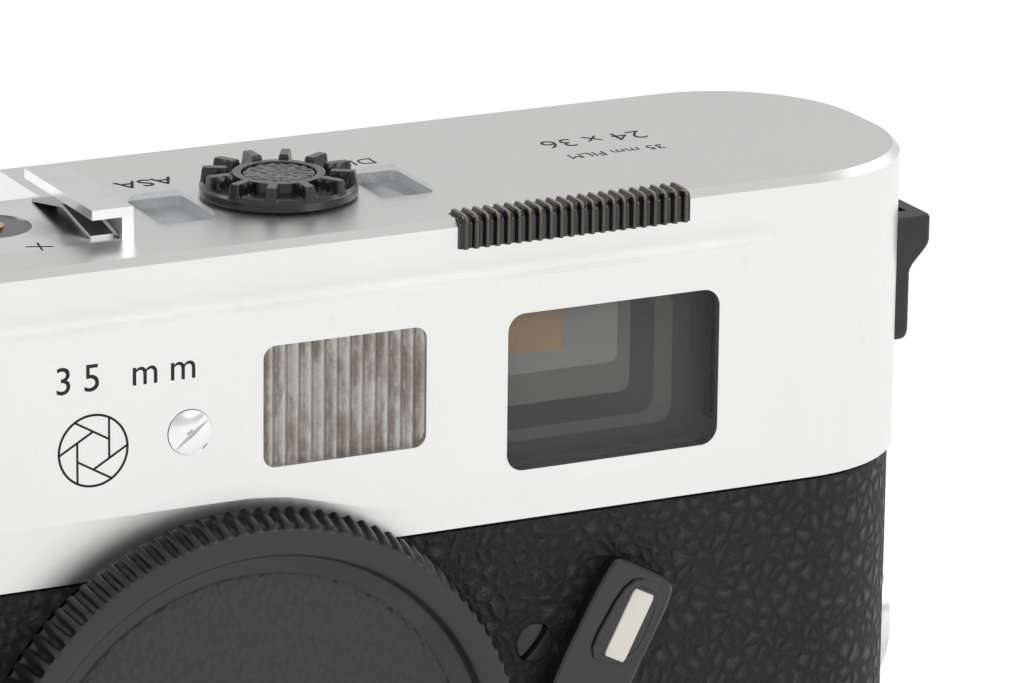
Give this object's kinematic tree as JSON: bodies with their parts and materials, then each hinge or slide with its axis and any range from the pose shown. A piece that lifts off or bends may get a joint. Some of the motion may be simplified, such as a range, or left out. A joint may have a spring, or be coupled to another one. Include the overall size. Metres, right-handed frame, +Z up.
{
  "type": "rangefinder camera",
  "caption": "Rangefinder film camera with a satin chrome top cover, black leather body, capped lens mount, accessory shoe, film speed dial, wind lever and hinged back.",
  "frame": {"origin": "mouth of the tripod socket on the underside of the base, straight under the lens axis", "axes": "+X along the body towards the viewfinder end, -Y towards the subject, +Z up"},
  "size_m": [0.1556, 0.0404, 0.0873],
  "materials": {
    "satin_chrome": "fine satin chrome",
    "base_chrome": "satin chrome",
    "bright_chrome": "polished chrome",
    "leather": "coarse pebbled black leather",
    "black_enamel": "matt black enamel",
    "black_gloss": "gloss black",
    "cap_plastic": "matt dark grey moulding",
    "insert": "cream moulding",
    "steel": "plain steel",
    "brass": "plain brass",
    "film_parts": "black moulding",
    "scale_card": "white enamel",
    "cloth": "rubberised cloth",
    "glass": "clear glass"
  },
  "bodies": {
    "camera_body": {"top_cover": "satin_chrome", "meter_light_window": "black_gloss", "viewfinder_window": "glass", "rangefinder_window": "glass", "frame_light_window": "glass", "front_screw": "black_enamel", "bright_screws": "bright_chrome", "viewfinder_housing": "black_enamel", "rangefinder_prisms": "glass", "rangefinder_tube": "black_enamel", "eyepiece_ring": "bright_chrome", "eyepiece_lens": "glass", "accessory_shoe": "bright_chrome", "shoe_insulator": "black_gloss", "shoe_contact": "brass", "shoe_spring": "steel", "film_speed_windows": "glass", "counter_window": "glass", "body_shell": "black_enamel", "leather_wrap": "leather", "light_chamber": "black_enamel", "shutter_drums": "steel", "shutter_curtain": "cloth", "mount_ring": "bright_chrome", "chamber_pins": "steel", "deck_plate": "black_enamel", "strap_lugs": "black_enamel", "battery_chamber": "black_enamel", "button_cell": "steel", "door_hinge": "steel", "sync_sockets": "bright_chrome"},
    "frame_mask": {"frame_mask": "black_enamel"},
    "film_speed_dial": {"film_speed_dial": "black_gloss", "film_speed_scale": "scale_card"},
    "shutter_speed_dial": {"shutter_speed_dial": "black_gloss"},
    "wind_lever": {"wind_lever": "bright_chrome"},
    "wind_lever_tip": {"wind_lever_tip": "black_gloss"},
    "release_button": {"release_button": "bright_chrome"},
    "frame_counter": {"frame_counter_disc": "scale_card"},
    "body_cap": {"body_cap": "cap_plastic"},
    "lens_release": {"lens_release_button": "bright_chrome"},
    "cam_arm": {"rangefinder_cam_arm": "steel"},
    "meter_arm": {"meter_arm": "steel"},
    "take_up_spool": {"take_up_spool": "film_parts"},
    "sprocket": {"sprocket_roller": "steel"},
    "frame_selector": {"frame_selector_lever": "black_gloss", "frame_selector_insert": "insert"},
    "self_timer": {"self_timer_lever": "black_gloss", "self_timer_insert": "insert"},
    "rewind_release": {"rewind_release_lever": "bright_chrome"},
    "battery_cover": {"battery_cover": "bright_chrome"},
    "back_door": {"back_door": "black_enamel", "door_leather": "leather"},
    "pressure_plate": {"pressure_plate": "steel", "pressure_springs": "steel"},
    "base_plate": {"base_plate": "base_chrome", "tripod_bush": "brass"},
    "rewind_knob": {"rewind_knob": "bright_chrome"},
    "rewind_crank": {"rewind_crank": "bright_chrome"},
    "lock_key": {"lock_key": "bright_chrome"}
  },
  "joints": [
    {"name": "wind_stroke", "type": "hinge", "parent": "camera_body", "child": "wind_lever", "pos_m": [-0.058, -0.0086, 0.08], "axis": [0, 0, 1], "range_deg": [0, 130], "stiffness_Nm_per_rad": 0.02},
    {"name": "wind_tip_fold", "type": "hinge", "parent": "wind_lever", "child": "wind_lever_tip", "pos_m": [-0.04016, 0.00746, 0.084], "axis": [0, 0, 1], "range_deg": [0, 50]},
    {"name": "spool_turn", "type": "hinge", "parent": "camera_body", "child": "take_up_spool", "pos_m": [-0.055, 0.0022, 0.03], "axis": [0, 0, 1], "range_deg": [-180, 0]},
    {"name": "sprocket_turn", "type": "hinge", "parent": "camera_body", "child": "sprocket", "pos_m": [-0.0382, 0.0036, 0.03], "axis": [0, 0, 1], "range_deg": [-360, 0]},
    {"name": "counter_turn", "type": "hinge", "parent": "camera_body", "child": "frame_counter", "pos_m": [-0.0385, -0.006, 0.076], "axis": [0, 0, 1], "range_deg": [0, 10]},
    {"name": "meter_arm_swing", "type": "hinge", "parent": "camera_body", "child": "meter_arm", "pos_m": [0.019, 0, 0.0124], "axis": [0, 1, 0], "range_deg": [0, 50]},
    {"name": "shutter_dial_turn", "type": "hinge", "parent": "camera_body", "child": "shutter_speed_dial", "pos_m": [-0.058, -0.0086, 0.081], "axis": [0, 0, 1], "range_deg": [-135, 135]},
    {"name": "release_press", "type": "slide", "parent": "camera_body", "child": "release_button", "axis": [0, 0, -1], "range_m": [0, 0.0015], "stiffness_N_per_m": 400},
    {"name": "film_dial_turn", "type": "hinge", "parent": "camera_body", "child": "film_speed_dial", "pos_m": [0.0107, -0.0024, 0.084], "axis": [0, 0, 1], "range_deg": [-150, 150]},
    {"name": "selector_swing", "type": "hinge", "parent": "camera_body", "child": "frame_selector", "pos_m": [0.0326, -0.017, 0.032], "axis": [0, 1, 0], "range_deg": [-20, 20], "stiffness_Nm_per_rad": 0.02},
    {"name": "mask_swing", "type": "hinge", "parent": "camera_body", "child": "frame_mask", "pos_m": [0.0288, 0, 0.0621], "axis": [0, 1, 0], "range_deg": [-2, 2]},
    {"name": "self_timer_turn", "type": "hinge", "parent": "camera_body", "child": "self_timer", "pos_m": [-0.0364, -0.017, 0.0305], "axis": [0, -1, 0], "range_deg": [0, 180]},
    {"name": "rewind_release_turn", "type": "hinge", "parent": "camera_body", "child": "rewind_release", "pos_m": [-0.057, -0.017, 0.0625], "axis": [0, 1, 0], "range_deg": [0, 60]},
    {"name": "lens_release_press", "type": "slide", "parent": "camera_body", "child": "lens_release", "axis": [0, 1, 0], "range_m": [0, 0.0015], "stiffness_N_per_m": 500},
    {"name": "cap_turn", "type": "hinge", "parent": "camera_body", "child": "body_cap", "pos_m": [0, -0.018, 0.0326], "axis": [0, 1, 0], "range_deg": [0, 60]},
    {"name": "cam_follow", "type": "hinge", "parent": "camera_body", "child": "cam_arm", "pos_m": [0.016, -0.006, 0.048], "axis": [0, 0, -1], "range_deg": [0, 10], "stiffness_Nm_per_rad": 0.02},
    {"name": "door_swing", "type": "hinge", "parent": "camera_body", "child": "back_door", "pos_m": [0, 0.0172, 0.053], "axis": [1, 0, 0], "range_deg": [0, 100]},
    {"name": "pressure_plate_travel", "type": "slide", "parent": "back_door", "child": "pressure_plate", "axis": [0, 1, 0], "range_m": [0, 0.0008], "stiffness_N_per_m": 600},
    {"name": "base_plate_swing", "type": "hinge", "parent": "camera_body", "child": "base_plate", "pos_m": [-0.0789, 0, 0.00415], "axis": [0, 1, 0], "range_deg": [0, 60]},
    {"name": "rewind_turn", "type": "hinge", "parent": "base_plate", "child": "rewind_knob", "pos_m": [0.048, 0, 0.002], "axis": [0, 0, 1], "continuous": true},
    {"name": "crank_fold", "type": "hinge", "parent": "rewind_knob", "child": "rewind_crank", "pos_m": [0.0404, 0, 0.0012], "axis": [0, 1, 0], "range_deg": [0, 120]},
    {"name": "lock_turn", "type": "hinge", "parent": "base_plate", "child": "lock_key", "pos_m": [-0.05, 0, 0.002], "axis": [0, 0, 1], "range_deg": [0, 90]},
    {"name": "battery_cover_turn", "type": "hinge", "parent": "camera_body", "child": "battery_cover", "pos_m": [0.0729, 0, 0.035], "axis": [1, 0, 0], "continuous": true}
  ],
  "couplings": [
    {"joint": "spool_turn", "follows": "wind_stroke", "ratio": -1.3333},
    {"joint": "sprocket_turn", "follows": "wind_stroke", "ratio": -2.769},
    {"joint": "counter_turn", "follows": "wind_stroke", "ratio": 0.0692},
    {"joint": "meter_arm_swing", "follows": "wind_stroke", "ratio": 0.3846},
    {"joint": "mask_swing", "follows": "selector_swing", "ratio": 0.08}
  ]
}
